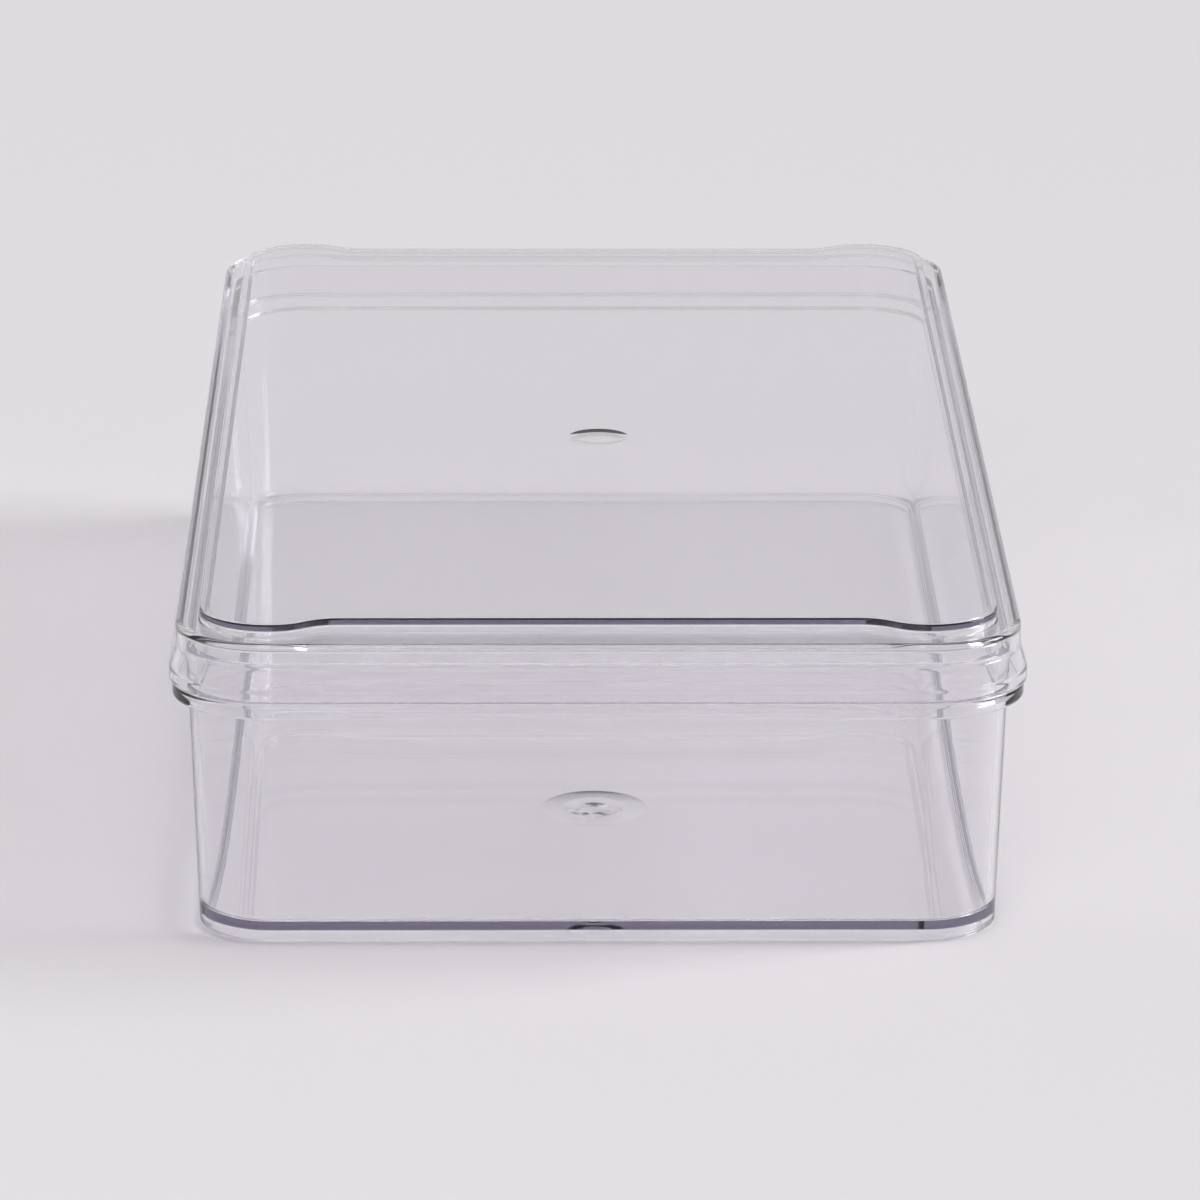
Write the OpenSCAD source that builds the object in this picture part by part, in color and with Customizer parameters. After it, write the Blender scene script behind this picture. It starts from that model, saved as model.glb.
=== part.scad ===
// Clear storage box with a loose lift-off lid, both moulded from rigid clear plastic.
// Millimetres, Z up. The origin is on the table, under the middle of the box. The short sides face -Y and +Y.
// Every corner of the box and of the lid turns about the same four upright lines.

/* [Overall size] */
// Across the box, over the flared skirt of the lid
overall_w = 171; // [150:1:206]
// Along the box, over the flared skirt of the lid
overall_l = 318; // [260:1:382]
// From the table to the top of the lid
overall_h = 66; // [54:1:110]
// Outer corner radius of the flared skirt
corner_r = 20.4; // [17:0.1:26]

/* [Box] */
// Wall thickness
wall_t = 1.8; // [1.5:0.1:2.4]
// Floor thickness
floor_t = 1.7; // [1.4:0.1:2.4]
// Height of the foot under the floor
foot_h = 2.1; // [1.2:0.1:4]
// Width of the foot
foot_w = 2.6; // [1.8:0.1:4]
// Lean of the walls, in degrees
draft = 2; // [0.5:0.1:2.6]
// Height of the rim above the seat of the lid
rim_h = 7.7; // [5:0.1:9]
// Height of the outside flange that the lid sits on
flange_t = 3.1; // [2:0.1:4.5]
// How far the flange stays inside the flared skirt
flange_in = 0.6; // [0.3:0.1:1.2]
// Radius of the edge under the foot
foot_round = 0.8; // [0.4:0.1:1]
// Radius between the floor and the walls inside
floor_round = 1.4; // [0.6:0.1:2.5]

/* [Lid] */
// Thickness of the lid
lid_t = 1.6; // [1.3:0.1:2.1]
// Height of the skirt, from its lower edge to the ledge
skirt_h = 12.2; // [11:0.1:15]
// Height of the straight lower part of the skirt
flare_h = 2.6; // [1.5:0.1:3.5]
// Height over which the skirt leans out
flare_rise = 4.4; // [2.5:0.1:5]
// How far the skirt leans out
flare = 1.4; // [0.6:0.1:1.8]
// Radius of the outer edge of the ledge
ledge_round = 1.1; // [0.6:0.1:1.4]
// Width of the ledge round the raised panel
ledge_w = 4.8; // [3.5:0.1:6]
// Height of the raised panel above the ledge
panel_h = 2.6; // [1.8:0.1:4]
// How much further the panel is set back in the middle of the short sides
set_back = 4.6; // [2:0.1:6]
// Radius of both bends of each set-back
bend_r = 11.5; // [8:0.1:16]
// Size of the small step that breaks the panel's upper edge
edge_step = 0.3; // [0.2:0.1:0.5]

/* [Fit] */
// Gap between the rim and the skirt, each side
side_gap = 0.5; // [0.3:0.1:0.8]
// Gap between the flange and the lower edge of the skirt
seat_gap = 0.1; // [0.05:0.05:0.3]

/* [Moulding marks] */
// Diameter of the shallow round recess under the floor
gate_d = 22; // [12:1:30]
// How far the recess lies in front of the middle
gate_offset = 78.3; // [50:0.1:100]
// Depth of that recess
gate_depth = 0.3; // [0.1:0.1:0.5]
// Diameter of the button in its middle
button_d = 9; // [4:0.5:10]
// Diameter of the round dimple in the top of the lid
dimple_d = 13; // [8:1:20]
// Depth of that dimple
dimple_depth = 0.2; // [0.1:0.1:0.4]
// How far the dimple stays in front of the middle
dimple_y = 16; // [0:1:30]

/* [Smoothness] */
// Facets to a full turn of the corners
$fn = 64; // [48:8:96]

/* [Hidden] */

centre_x = overall_w / 2 - corner_r;
centre_y = overall_l / 2 - corner_r;
// Distances from a corner's upright centre line
edge_r = corner_r - flare;
rim_r = edge_r - lid_t - side_gap;
flange_r = corner_r - flange_in;
panel_r = edge_r - ledge_w;

// Heights above the table
ledge_z = overall_h - panel_h;
skirt_z = ledge_z - skirt_h;
seat_z = skirt_z - seat_gap;
rim_z = seat_z + rim_h;
flange_z = seat_z - flange_t;
floor_z = foot_h + floor_t;
base_r = rim_r - lean(rim_z);
rim_round = 0.5;
flange_round = 0.7;
skirt_round = 0.5;
cut = 1; // how far a cutting shape goes past the face that it opens

bend_angle = acos(1 - set_back / 2 / bend_r);
bend_x = bend_r * sin(bend_angle);

clear_box = [0.86, 0.86, 0.9];
clear_lid = [0.89, 0.89, 0.93];

function lean(height) = height * tan(draft);

// Points of an arc in a profile, from angle a0 to angle a1
function arc(r, z, radius, a0, a1, steps = 3) =
    [for (i = [0 : steps]) let (a = a0 + (a1 - a0) * i / steps) [r + radius * cos(a), z + radius * sin(a)]];

// The outside of the box, from the corner's centre line out
box_outside = concat(
    [[0, 0]],
    arc(base_r + lean(foot_round) - foot_round, foot_round, foot_round, -90, 0),
    [[rim_r - lean(rim_z - flange_z), flange_z]],
    arc(flange_r - flange_round, flange_z + flange_round, flange_round, -90, 0),
    arc(flange_r - flange_round, seat_z - flange_round, flange_round, 0, 90),
    [[rim_r - lean(rim_h), seat_z]],
    arc(rim_r - rim_round, rim_z - rim_round, rim_round, 0, 90),
    [[0, rim_z]]
);

function inner_wall(height) = rim_r - lean(rim_z - height) - wall_t;

box_inside = concat(
    [[0, floor_z]],
    arc(inner_wall(floor_z + floor_round) - floor_round, floor_z + floor_round, floor_round, -90, 0),
    [[inner_wall(rim_z), rim_z], [inner_wall(rim_z), rim_z + cut], [0, rim_z + cut]]
);

under_floor = [[0, -cut], [base_r - foot_w, -cut], [base_r - foot_w, foot_h], [0, foot_h]];

flare_z = skirt_z + flare_h;
lid_outside = concat(
    [[0, skirt_z]],
    arc(corner_r - skirt_round, skirt_z + skirt_round, skirt_round, -90, 0),
    [[corner_r, flare_z], [edge_r, flare_z + flare_rise]],
    arc(edge_r - ledge_round, ledge_z - ledge_round, ledge_round, 0, 90, 4),
    [[0, ledge_z]]
);

lid_inside = [
    [0, skirt_z - cut],
    [corner_r - lid_t, skirt_z - cut],
    [corner_r - lid_t, flare_z],
    [edge_r - lid_t, flare_z + flare_rise],
    [edge_r - lid_t, ledge_z - lid_t],
    [0, ledge_z - lid_t]
];

// A profile, drawn from the corners' centre lines out, carried round all four sides and filled in the middle
module filled_round(profile, low, high) {
    translate([-centre_x, -centre_y, low]) cube([2 * centre_x, 2 * centre_y, high - low]);
    for (side = [0, 180]) {
        rotate([0, 0, side]) translate([centre_x, 0, 0]) rotate([90, 0, 0])
            linear_extrude(2 * centre_y, center = true) polygon(profile);
        rotate([0, 0, side + 90]) translate([centre_y, 0, 0]) rotate([90, 0, 0])
            linear_extrude(2 * centre_x, center = true) polygon(profile);
    }
    for (corner = [[1, 1, 0], [-1, 1, 90], [-1, -1, 180], [1, -1, 270]])
        translate([corner[0] * centre_x, corner[1] * centre_y, 0]) rotate([0, 0, corner[2]])
            rotate_extrude(angle = 90) polygon(profile);
}

// One quarter of the panel's outline, drawn in by inset, from the middle of a short side round to a long side
function panel_quarter(inset) = concat(
    [for (i = [0 : 6]) let (a = 90 - bend_angle * i / 6)
        [centre_x - 2 * bend_x + (bend_r + inset) * cos(a),
         centre_y + panel_r - set_back + bend_r - (bend_r + inset) * sin(a)]],
    [for (i = [5 : -1 : 0]) let (a = 90 + bend_angle * i / 6)
        [centre_x + (bend_r - inset) * cos(a), centre_y + panel_r - bend_r + (bend_r - inset) * sin(a)]],
    [for (i = [1 : 12]) let (a = 90 - 90 * i / 12)
        [centre_x + (panel_r - inset) * cos(a), centre_y + (panel_r - inset) * sin(a)]]
);

function turned_back(points) = [for (i = [len(points) - 1 : -1 : 0]) points[i]];

function panel_outline(inset) = let (quarter = panel_quarter(inset)) concat(
    quarter,
    turned_back([for (p = quarter) [p[0], -p[1]]]),
    [for (p = quarter) [-p[0], -p[1]]],
    turned_back([for (p = quarter) [-p[0], p[1]]])
);

module panel(inset, low, high) {
    translate([0, 0, low]) linear_extrude(high - low) polygon(panel_outline(inset));
}

// The box: walls, floor on its foot, flange, and the gate recess under the floor
module box_body() {
    color(clear_box) difference() {
        filled_round(box_outside, 0, rim_z);
        filled_round(box_inside, floor_z, rim_z + cut);
        filled_round(under_floor, -cut, foot_h);
        translate([0, -gate_offset, foot_h - cut]) difference() {
            cylinder(d = gate_d, h = gate_depth + cut);
            cylinder(d = button_d, h = gate_depth + cut);
        }
    }
}

// The lid: skirt and ledge, the raised panel with its set-back ends, and the dimple in the panel
module lid() {
    color(clear_lid) difference() {
        union() {
            filled_round(lid_outside, skirt_z, ledge_z);
            panel(0, ledge_z - lid_t, overall_h - edge_step);
            panel(edge_step, ledge_z - lid_t, overall_h);
        }
        filled_round(lid_inside, skirt_z - cut, ledge_z - lid_t);
        panel(lid_t, ledge_z - lid_t - cut, overall_h - lid_t);
        translate([0, -dimple_y, overall_h - dimple_depth]) cylinder(d = dimple_d, h = dimple_depth + cut);
    }
}

box_body();
lid();
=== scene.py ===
import math

import bmesh
import bpy
from mathutils import Matrix, Vector


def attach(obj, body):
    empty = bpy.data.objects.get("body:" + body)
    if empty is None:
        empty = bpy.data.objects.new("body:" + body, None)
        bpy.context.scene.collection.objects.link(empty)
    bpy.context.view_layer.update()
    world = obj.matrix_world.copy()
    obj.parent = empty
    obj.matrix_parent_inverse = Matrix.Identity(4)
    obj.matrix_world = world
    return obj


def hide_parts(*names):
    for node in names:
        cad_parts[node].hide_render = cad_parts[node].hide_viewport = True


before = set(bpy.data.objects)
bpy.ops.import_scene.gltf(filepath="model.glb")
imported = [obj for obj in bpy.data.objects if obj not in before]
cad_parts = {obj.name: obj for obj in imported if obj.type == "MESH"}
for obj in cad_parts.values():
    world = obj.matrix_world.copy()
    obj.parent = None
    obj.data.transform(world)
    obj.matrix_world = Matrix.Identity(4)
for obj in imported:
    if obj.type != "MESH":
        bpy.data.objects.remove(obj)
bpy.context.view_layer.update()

scene = bpy.context.scene
mm = 0.001

# every corner of the box and of the lid turns about the same four upright lines
centreX = 65.1
centreY = 138.6
cornerSteps = 20
supportGap = 0.15  # loops this close to a fillet keep the flat faces flat in the shading
supportAlong = 0.4  # the same beside the corners, along the straight sides
filletStep = math.radians(11)
smoothAngle = math.radians(28)
flatAngle = math.radians(0.5)
largeFace = 0.00004  # square metres
weldGap = 1e-7
cutterSteps = 64
cutterReach = 1  # how far a cutter goes past the face that it opens, in mm


def filletedProfile(corners):
    # corners are (distance from the centre lines, height, fillet radius), in mm
    points = []
    for index, (r, z, fillet) in enumerate(corners):
        here = Vector((r, z))
        if index in (0, len(corners) - 1) or fillet == 0:
            points.append(here)
            continue
        before = (Vector(corners[index - 1][:2]) - here).normalized()
        after = (Vector(corners[index + 1][:2]) - here).normalized()
        opening = before.angle(after)
        reach = fillet / math.tan(opening / 2)
        middle = here + (before + after).normalized() * (fillet / math.sin(opening / 2))
        start = here + before * reach
        end = here + after * reach
        steps = max(2, math.ceil((math.pi - opening) / filletStep))
        a0 = math.atan2(start.y - middle.y, start.x - middle.x)
        a1 = math.atan2(end.y - middle.y, end.x - middle.x)
        turn = (a1 - a0 + math.pi) % (2 * math.pi) - math.pi
        for step in range(steps + 1):
            a = a0 + turn * step / steps
            points.append(middle + Vector((math.cos(a), math.sin(a))) * fillet)
    return withSupport(points)


def withSupport(points):
    out = [points[0]]
    for a, b in zip(points, points[1:]):
        length = (b - a).length
        if length > 3 * supportGap:
            out.append(a.lerp(b, supportGap / length))
            out.append(b.lerp(a, supportGap / length))
        out.append(b)
    return out


def skinBetween(mesh, rings):
    count = len(rings[0])
    for low, high in zip(rings, rings[1:]):
        for i in range(count):
            k = (i + 1) % count
            mesh.faces.new((low[i], low[k], high[k], high[i]))


def newObject(name, mesh, material):
    piece = bpy.data.objects.new(name, mesh)
    scene.collection.objects.link(piece)
    mesh.materials.clear()
    mesh.materials.append(material)
    return piece


def paintNode(name, material):
    # the construction node that a shell stands for carries the same plastic
    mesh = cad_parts[name].data
    mesh.materials.clear()
    mesh.materials.append(material)


def smoothed(mesh):
    # large flat faces stay flat: their edges turn sharp wherever a neighbour leaves their plane
    mesh.shade_smooth()
    mesh.set_sharp_from_angle(angle=smoothAngle)
    work = bmesh.new()
    work.from_mesh(mesh)
    for edge in work.edges:
        if len(edge.link_faces) == 2:
            largest = max(f.calc_area() for f in edge.link_faces)
            if largest > largeFace and edge.calc_face_angle(0) > flatAngle:
                edge.smooth = False
    work.to_mesh(mesh)
    work.free()


def cutWith(piece, cutters):
    # takes each cutter out of the piece, then drops the cutters and the modifiers
    for cutter in cutters:
        modifier = piece.modifiers.new("cut", "BOOLEAN")
        modifier.operation = "DIFFERENCE"
        modifier.solver = "EXACT"
        modifier.object = cutter
    bpy.context.view_layer.update()
    graph = bpy.context.evaluated_depsgraph_get()
    mesh = bpy.data.meshes.new_from_object(piece.evaluated_get(graph))
    piece.modifiers.clear()
    old = piece.data
    piece.data = mesh
    bpy.data.meshes.remove(old)
    for cutter in cutters:
        bpy.data.objects.remove(cutter)


def turnedCutter(name, x, y, profile):
    # a closed profile of (radius, height) turned about an upright line
    mesh = bmesh.new()
    columns = []
    for step in range(cutterSteps):
        a = 2 * math.pi * step / cutterSteps
        column = []
        for r, z in profile:
            spot = ((x + r * math.cos(a)) * mm, (y + r * math.sin(a)) * mm, z * mm)
            column.append(mesh.verts.new(spot))
        columns.append(column)
    count = len(profile)
    closed = profile[0][0] > 0
    for step in range(cutterSteps):
        here, there = columns[step], columns[(step + 1) % cutterSteps]
        for i in range(count if closed else count - 1):
            k = (i + 1) % count
            mesh.faces.new((here[i], here[k], there[k], there[i]))
    bmesh.ops.remove_doubles(mesh, verts=mesh.verts, dist=weldGap)
    bmesh.ops.recalc_face_normals(mesh, faces=mesh.faces)
    data = bpy.data.meshes.new(name)
    mesh.to_mesh(data)
    mesh.free()
    cutter = bpy.data.objects.new(name, data)
    scene.collection.objects.link(cutter)
    cutter.hide_render = True
    return cutter


# how the plastic of both pieces is handled and moulded
wear = {
    "smudgeDetail": 5,
    "smudgeGrain": 0.6,
    "smudgeStart": 0.45,
    "smudgeFull": 0.8,
    "flowDetail": 2,
}


def clearPlastic(name, settings):
    material = bpy.data.materials.new(name)
    material.use_nodes = True
    tree = material.node_tree
    tree.nodes.clear()
    out = tree.nodes.new("ShaderNodeOutputMaterial")
    shader = tree.nodes.new("ShaderNodeBsdfPrincipled")
    shader.inputs["Base Color"].default_value = settings["colour"]
    shader.inputs["Transmission Weight"].default_value = 1
    shader.inputs["IOR"].default_value = settings["ior"]
    absorb = tree.nodes.new("ShaderNodeVolumeAbsorption")
    absorb.inputs["Color"].default_value = settings["depthColour"]
    absorb.inputs["Density"].default_value = settings["depthDensity"]
    place = tree.nodes.new("ShaderNodeTexCoord")

    # handling leaves the gloss slightly uneven
    smudge = tree.nodes.new("ShaderNodeTexNoise")
    smudge.inputs["Scale"].default_value = settings["smudgeScale"]
    smudge.inputs["Detail"].default_value = wear["smudgeDetail"]
    smudge.inputs["Roughness"].default_value = wear["smudgeGrain"]
    smudgeRange = tree.nodes.new("ShaderNodeMapRange")
    smudgeRange.inputs["From Min"].default_value = wear["smudgeStart"]
    smudgeRange.inputs["From Max"].default_value = wear["smudgeFull"]
    smudgeRange.inputs["To Min"].default_value = settings["roughLow"]
    smudgeRange.inputs["To Max"].default_value = settings["roughHigh"]
    tree.links.new(place.outputs["Object"], smudge.inputs["Vector"])
    tree.links.new(smudge.outputs["Fac"], smudgeRange.inputs["Value"])
    tree.links.new(smudgeRange.outputs["Result"], shader.inputs["Roughness"])

    # moulded faces are never quite flat
    flow = tree.nodes.new("ShaderNodeTexNoise")
    flow.inputs["Scale"].default_value = settings["flowScale"]
    flow.inputs["Detail"].default_value = wear["flowDetail"]
    bump = tree.nodes.new("ShaderNodeBump")
    bump.inputs["Strength"].default_value = 1
    bump.inputs["Distance"].default_value = settings["flowDepth"]
    tree.links.new(place.outputs["Object"], flow.inputs["Vector"])
    tree.links.new(flow.outputs["Fac"], bump.inputs["Height"])
    tree.links.new(bump.outputs["Normal"], shader.inputs["Normal"])

    tree.links.new(shader.outputs["BSDF"], out.inputs["Surface"])
    tree.links.new(absorb.outputs["Volume"], out.inputs["Volume"])
    return material


# the box: one profile carried round a rounded rectangle, sizes in mm
boxSettings = {
    "colour": (0.985, 0.98, 0.99, 1),
    "ior": 1.49,
    "depthColour": (0.69, 0.67, 0.745, 1),
    "depthDensity": 15,
    "smudgeScale": 24,
    "roughLow": 0.004,
    "roughHigh": 0.03,
    "flowScale": 9,
    "flowDepth": 0.00001,
}
boxCorners = [
    (11.2, 2.1, 0),
    (12.25, 2.1, 0.35),
    (12.25, 0, 0.4),
    (14.847, 0, 0.8),
    (16.523, 48.0, 0.3),
    (19.8, 48.0, 0.7),
    (19.8, 51.1, 0.7),
    (16.631, 51.1, 0.25),
    (16.9, 58.8, 0.5),
    (15.1, 58.8, 0.4),
    (13.179, 3.8, 1.4),
    (11.2, 3.8, 0),
]
pathRadius = 16.9  # the path runs along the outside of the rim
gate = {
    "x": 0,
    "y": -78.3,
    "outer": 11,
    "button": 4.5,
    "depth": 0.22,
    "outerSlope": 4.2,
    "buttonSlope": 1.2,
    "dot": 2.7,
    "dotFlat": 0.4,  # share of the dot's width that stays flat
    "dotDepth": 0.35,
    "dotDome": 1.1,  # the middle goes this much deeper than the flat's edge
    "underFloor": 2.1,
}


def sweepTree(material):
    # carries the object's own line, a profile, round a rounded rectangle
    tree = bpy.data.node_groups.new("sweepRound", "GeometryNodeTree")
    face = tree.interface
    face.new_socket("Profile", in_out="INPUT", socket_type="NodeSocketGeometry")
    for name in ("Path width", "Path length", "Corner radius"):
        face.new_socket(name, in_out="INPUT", socket_type="NodeSocketFloat")
    face.new_socket("Corner steps", in_out="INPUT", socket_type="NodeSocketInt")
    face.new_socket("Geometry", in_out="OUTPUT", socket_type="NodeSocketGeometry")
    node = tree.nodes.new
    link = tree.links.new
    given = node("NodeGroupInput")
    result = node("NodeGroupOutput")
    rectangle = node("GeometryNodeCurvePrimitiveQuadrilateral")
    rectangle.mode = "RECTANGLE"
    link(given.outputs["Path width"], rectangle.inputs["Width"])
    link(given.outputs["Path length"], rectangle.inputs["Height"])
    corner = node("GeometryNodeFilletCurve")
    corner.mode = "POLY"
    corner.inputs["Limit Radius"].default_value = False
    link(rectangle.outputs["Curve"], corner.inputs["Curve"])
    link(given.outputs["Corner radius"], corner.inputs["Radius"])
    link(given.outputs["Corner steps"], corner.inputs["Count"])
    upright = node("GeometryNodeSetCurveNormal")
    upright.mode = "Z_UP"
    link(corner.outputs["Curve"], upright.inputs["Curve"])
    line = node("GeometryNodeMeshToCurve")
    link(given.outputs["Profile"], line.inputs["Mesh"])
    sweep = node("GeometryNodeCurveToMesh")
    link(upright.outputs["Curve"], sweep.inputs["Curve"])
    link(line.outputs["Curve"], sweep.inputs["Profile Curve"])
    realize = node("GeometryNodeRealizeInstances")
    link(sweep.outputs["Mesh"], realize.inputs["Geometry"])
    paint = node("GeometryNodeSetMaterial")
    paint.inputs["Material"].default_value = material
    link(realize.outputs["Geometry"], paint.inputs["Geometry"])
    link(paint.outputs["Geometry"], result.inputs["Geometry"])
    return tree


def makeBox():
    material = clearPlastic("clearBox", boxSettings)
    line = bpy.data.meshes.new("boxProfile")
    points = filletedProfile(boxCorners)
    line.from_pydata([((r - pathRadius) * mm, -z * mm, 0) for r, z in points],
                     [(i, i + 1) for i in range(len(points) - 1)], [])
    box = newObject("box_shell", line, material)
    tree = sweepTree(material)
    modifier = box.modifiers.new("sweep", "NODES")
    modifier.node_group = tree
    values = {
        "Path width": 2 * (centreX + pathRadius) * mm,
        "Path length": 2 * (centreY + pathRadius) * mm,
        "Corner radius": pathRadius * mm,
        "Corner steps": cornerSteps,
    }
    for item in tree.interface.items_tree:
        if item.item_type == "SOCKET" and item.in_out == "INPUT" and item.name in values:
            modifier[item.identifier] = values[item.name]
    bpy.context.view_layer.update()
    graph = bpy.context.evaluated_depsgraph_get()
    swept = bpy.data.meshes.new_from_object(box.evaluated_get(graph))
    box.modifiers.clear()
    box.data = swept
    bpy.data.meshes.remove(line)

    mesh = bmesh.new()
    mesh.from_mesh(swept)
    bmesh.ops.remove_doubles(mesh, verts=mesh.verts, dist=weldGap)
    bmesh.ops.holes_fill(mesh, edges=[e for e in mesh.edges if e.is_boundary], sides=0)
    for side in (-1, 1):
        for place, normal in (((side * (centreX - supportAlong) * mm, 0, 0), (1, 0, 0)),
                              ((0, side * (centreY - supportAlong) * mm, 0), (0, 1, 0))):
            bmesh.ops.bisect_plane(mesh, geom=mesh.verts[:] + mesh.edges[:] + mesh.faces[:],
                                   plane_co=place, plane_no=normal)
    bmesh.ops.recalc_face_normals(mesh, faces=mesh.faces)
    mesh.to_mesh(swept)
    mesh.free()
    face = gate["underFloor"]
    low = face - cutterReach
    high = face + gate["depth"]
    ring = turnedCutter("gateCutter", gate["x"], gate["y"], [
        (gate["button"], low), (gate["outer"], low), (gate["outer"], face),
        (gate["outer"] - gate["outerSlope"], high), (gate["button"] + gate["buttonSlope"], high),
        (gate["button"], face)])
    dot = turnedCutter("dotCutter", gate["x"], gate["y"], [
        (0, low), (gate["dot"], low), (gate["dot"], face),
        (gate["dot"] * gate["dotFlat"], face + gate["dotDepth"]),
        (0, face + gate["dotDepth"] * gate["dotDome"])])
    cutWith(box, [ring, dot])
    smoothed(box.data)
    box.data.materials.clear()
    box.data.materials.append(material)
    paintNode("box_body", material)
    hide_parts("box_body")
    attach(box, "box")
    return box


# the lid: rings that change from the round outline to the panel's set-back outline, sizes in mm
lidSettings = {
    "colour": (0.985, 0.98, 0.99, 1),
    "ior": 1.49,
    "depthColour": (0.69, 0.67, 0.745, 1),
    "depthDensity": 15,
    "smudgeScale": 20,
    "roughLow": 0.004,
    "roughHigh": 0.035,
    "flowScale": 8,
    "flowDepth": 0.00001,
}
panel = {"radius": 14.2, "setBack": 4.6, "bend": 11.5, "bendSteps": 8}
lidCorners = [
    (11.4, 64.4, 0),
    (12.6, 64.4, 0.5),
    (12.6, 61.8, 0.5),
    (17.4, 61.8, 0.5),
    (17.4, 58.2, 1.5),
    (18.8, 53.8, 1.5),
    (18.8, 51.2, 0.25),
    (20.4, 51.2, 0.5),
    (20.4, 53.8, 1.5),
    (19.0, 58.2, 1.5),
    (19.0, 63.4, 1.1),
    (14.2, 63.4, 0.35),
    (14.2, 66.0, 0.4),
    (13.0, 66.0, 0),
]
panelSide = 15.0  # rings inside this distance follow the panel, the others the round outline
dimple = {
    "x": 1.5,
    "y": -16,
    "radius": 6.5,
    "flat": 0.5,  # share of the radius that lies at full depth
    "turn": 0.8,  # share of radius and of depth where the bowl steepens
    "depth": 0.2,
    "top": 66.0,
}


def lidQuarter(r):
    # from the middle of the short side at +Y round to the long side at +X
    bendAngle = math.acos(1 - panel["setBack"] / 2 / panel["bend"])
    bendX = panel["bend"] * math.sin(bendAngle)
    onPanel = r < panelSide
    inset = panel["radius"] - r if onPanel else 0
    steps = panel["bendSteps"]
    deepY = centreY + panel["radius"] - panel["setBack"]
    points = [(centreX - 2 * bendX - supportAlong, deepY - inset)]
    for i in range(steps + 1):
        a = bendAngle * i / steps
        reach = panel["bend"] + inset
        x = centreX - 2 * bendX + reach * math.sin(a)
        points.append((x, deepY + panel["bend"] - reach * math.cos(a)))
    for i in range(steps - 1, -1, -1):
        a = bendAngle * i / steps
        reach = panel["bend"] - inset
        y = centreY + panel["radius"] - panel["bend"] + reach * math.cos(a)
        points.append((centreX - reach * math.sin(a), y))
    if not onPanel:
        points = [(x, centreY + r) for x, y in points]
    for i in range(1, cornerSteps + 1):
        a = math.pi / 2 * (1 - i / cornerSteps)
        points.append((centreX + r * math.cos(a), centreY + r * math.sin(a)))
    points.append((centreX + r, centreY - supportAlong))
    return points


def lidRing(r):
    quarter = lidQuarter(r)
    ring = list(quarter)
    ring += [(x, -y) for x, y in reversed(quarter)]
    ring += [(-x, -y) for x, y in quarter]
    ring += [(-x, y) for x, y in reversed(quarter)]
    return ring


def makeLid():
    material = clearPlastic("clearLid", lidSettings)
    mesh = bmesh.new()
    rings = []
    for r, z in filletedProfile(lidCorners):
        rings.append([mesh.verts.new((x * mm, y * mm, z * mm)) for x, y in lidRing(r)])
    skinBetween(mesh, rings)
    mesh.faces.new(rings[0])
    mesh.faces.new(rings[-1])
    bmesh.ops.recalc_face_normals(mesh, faces=mesh.faces)
    data = bpy.data.meshes.new("lid_shell")
    mesh.to_mesh(data)
    mesh.free()
    lid = newObject("lid_shell", data, material)
    top = dimple["top"]
    depth = dimple["depth"]
    radius = dimple["radius"]
    bowl = turnedCutter("dimpleCutter", dimple["x"], dimple["y"], [
        (0, top - depth), (radius * dimple["flat"], top - depth),
        (radius * dimple["turn"], top - depth * dimple["turn"]), (radius, top),
        (radius, top + cutterReach), (0, top + cutterReach)])
    cutWith(lid, [bowl])
    smoothed(lid.data)
    lid.data.materials.clear()
    lid.data.materials.append(material)
    paintNode("lid", material)
    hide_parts("lid")
    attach(lid, "lid")
    return lid


boxShell = makeBox()
print("box ready", len(boxShell.data.polygons))
lidShell = makeLid()
print("lid ready", len(lidShell.data.polygons))


# table, light and camera, sizes in metres
studio = {
    "floorColour": (0.77, 0.75, 0.77, 1),
    "floorRoughness": 0.6,
    "floorShine": 0.2,
    "floorReach": 20,
    "floorDrop": 0.0001,  # keeps the table clear of the foot
    "worldColour": (0.73, 0.715, 0.735, 1),
    "worldStrength": 0.85,
    "backColour": (0.735, 0.715, 0.735, 1),
}
frontSoftbox = {"place": (-0.35, -1.5, 1.2), "size": 0.6, "power": 3}
window = {
    "from": (1.6, 0.15, 0.75),
    "width": 28,  # degrees, the softness of its shadow
    "strength": 2.4,
}
view = {
    "place": (-0.018295, -1.539264, 0.495138),
    "pitch": 0.296706,  # radians, looking down
    "yaw": 0.01328,
    "roll": 0.003227,
    "lens": 221.157,
    "sensor": 36,
    "nearest": 0.05,
    "farthest": 100,
}
lightBounces = 56  # edge light crosses a plate many times before it comes out


def makeFloor():
    half = studio["floorReach"]
    z = -studio["floorDrop"]
    mesh = bpy.data.meshes.new("table_top")
    mesh.from_pydata([(-half, -half, z), (half, -half, z), (half, half, z), (-half, half, z)],
                     [], [(0, 1, 2, 3)])
    material = bpy.data.materials.new("tableTop")
    material.use_nodes = True
    tree = material.node_tree
    shader = tree.nodes["Principled BSDF"]
    shader.inputs["Base Color"].default_value = studio["floorColour"]
    shader.inputs["Roughness"].default_value = studio["floorRoughness"]
    shader.inputs["Specular IOR Level"].default_value = studio["floorShine"]
    floor = newObject("table_top", mesh, material)


def makeSoftbox(name, softbox):
    # a square softbox turned towards the middle of the table
    data = bpy.data.lights.new(name, "AREA")
    data.shape = "SQUARE"
    data.size = softbox["size"]
    data.energy = softbox["power"]
    light = bpy.data.objects.new(name, data)
    light.location = softbox["place"]
    light.rotation_euler = (-Vector(softbox["place"])).to_track_quat("-Z", "Y").to_euler()
    scene.collection.objects.link(light)


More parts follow.
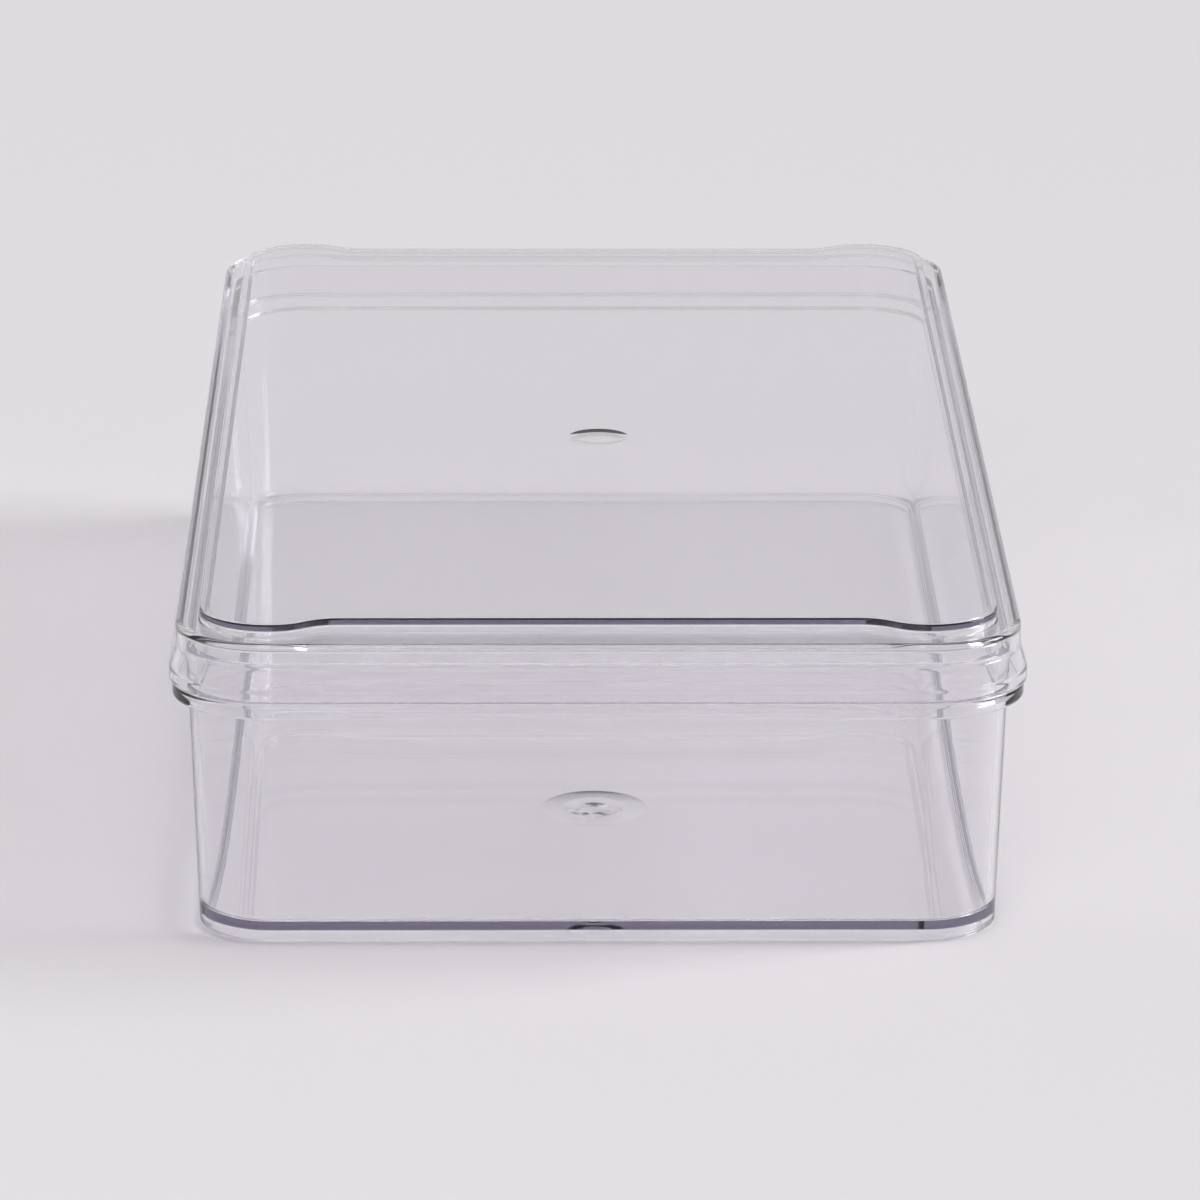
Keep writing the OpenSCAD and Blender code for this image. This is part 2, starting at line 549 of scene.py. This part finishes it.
def makeWindow():
    # wide soft daylight from the right, even over the whole table
    data = bpy.data.lights.new("window", "SUN")
    data.angle = math.radians(window["width"])
    data.energy = window["strength"]
    light = bpy.data.objects.new("window", data)
    light.rotation_euler = (-Vector(window["from"])).to_track_quat("-Z", "Y").to_euler()
    scene.collection.objects.link(light)


def makeWorld():
    world = bpy.data.worlds.new("studio")
    scene.world = world
    world.use_nodes = True
    tree = world.node_tree
    tree.nodes.clear()
    out = tree.nodes.new("ShaderNodeOutputWorld")
    lit = tree.nodes.new("ShaderNodeBackground")
    lit.inputs["Color"].default_value = studio["worldColour"]
    lit.inputs["Strength"].default_value = studio["worldStrength"]
    seen = tree.nodes.new("ShaderNodeBackground")
    seen.inputs["Color"].default_value = studio["backColour"]
    rays = tree.nodes.new("ShaderNodeLightPath")
    mix = tree.nodes.new("ShaderNodeMixShader")
    tree.links.new(rays.outputs["Is Camera Ray"], mix.inputs["Fac"])
    tree.links.new(lit.outputs["Background"], mix.inputs[1])
    tree.links.new(seen.outputs["Background"], mix.inputs[2])
    tree.links.new(mix.outputs["Shader"], out.inputs["Surface"])


def makeCamera():
    pitch, yaw, roll = view["pitch"], view["yaw"], view["roll"]
    ahead = Vector((math.sin(yaw) * math.cos(pitch),
                    math.cos(yaw) * math.cos(pitch),
                    -math.sin(pitch)))
    right = Vector((math.cos(yaw), -math.sin(yaw), 0))
    above = right.cross(ahead)
    turnedRight = right * math.cos(roll) + above * math.sin(roll)
    turnedUp = above * math.cos(roll) - right * math.sin(roll)
    data = bpy.data.cameras.new("camera")
    data.lens = view["lens"]
    data.sensor_width = view["sensor"]
    data.clip_start = view["nearest"]
    data.clip_end = view["farthest"]
    camera = bpy.data.objects.new("camera", data)
    turn = Matrix((turnedRight, turnedUp, -ahead)).transposed()
    camera.matrix_world = Matrix.Translation(view["place"]) @ turn.to_4x4()
    scene.collection.objects.link(camera)
    scene.camera = camera


makeFloor()
makeWorld()
makeSoftbox("frontSoftbox", frontSoftbox)
makeWindow()
makeCamera()
scene.view_settings.view_transform = "Standard"
scene.cycles.max_bounces = lightBounces
scene.cycles.transmission_bounces = lightBounces
scene.cycles.glossy_bounces = lightBounces
scene.cycles.blur_glossy = 0  # light reaches the table through the plastic unspread
print("studio ready")
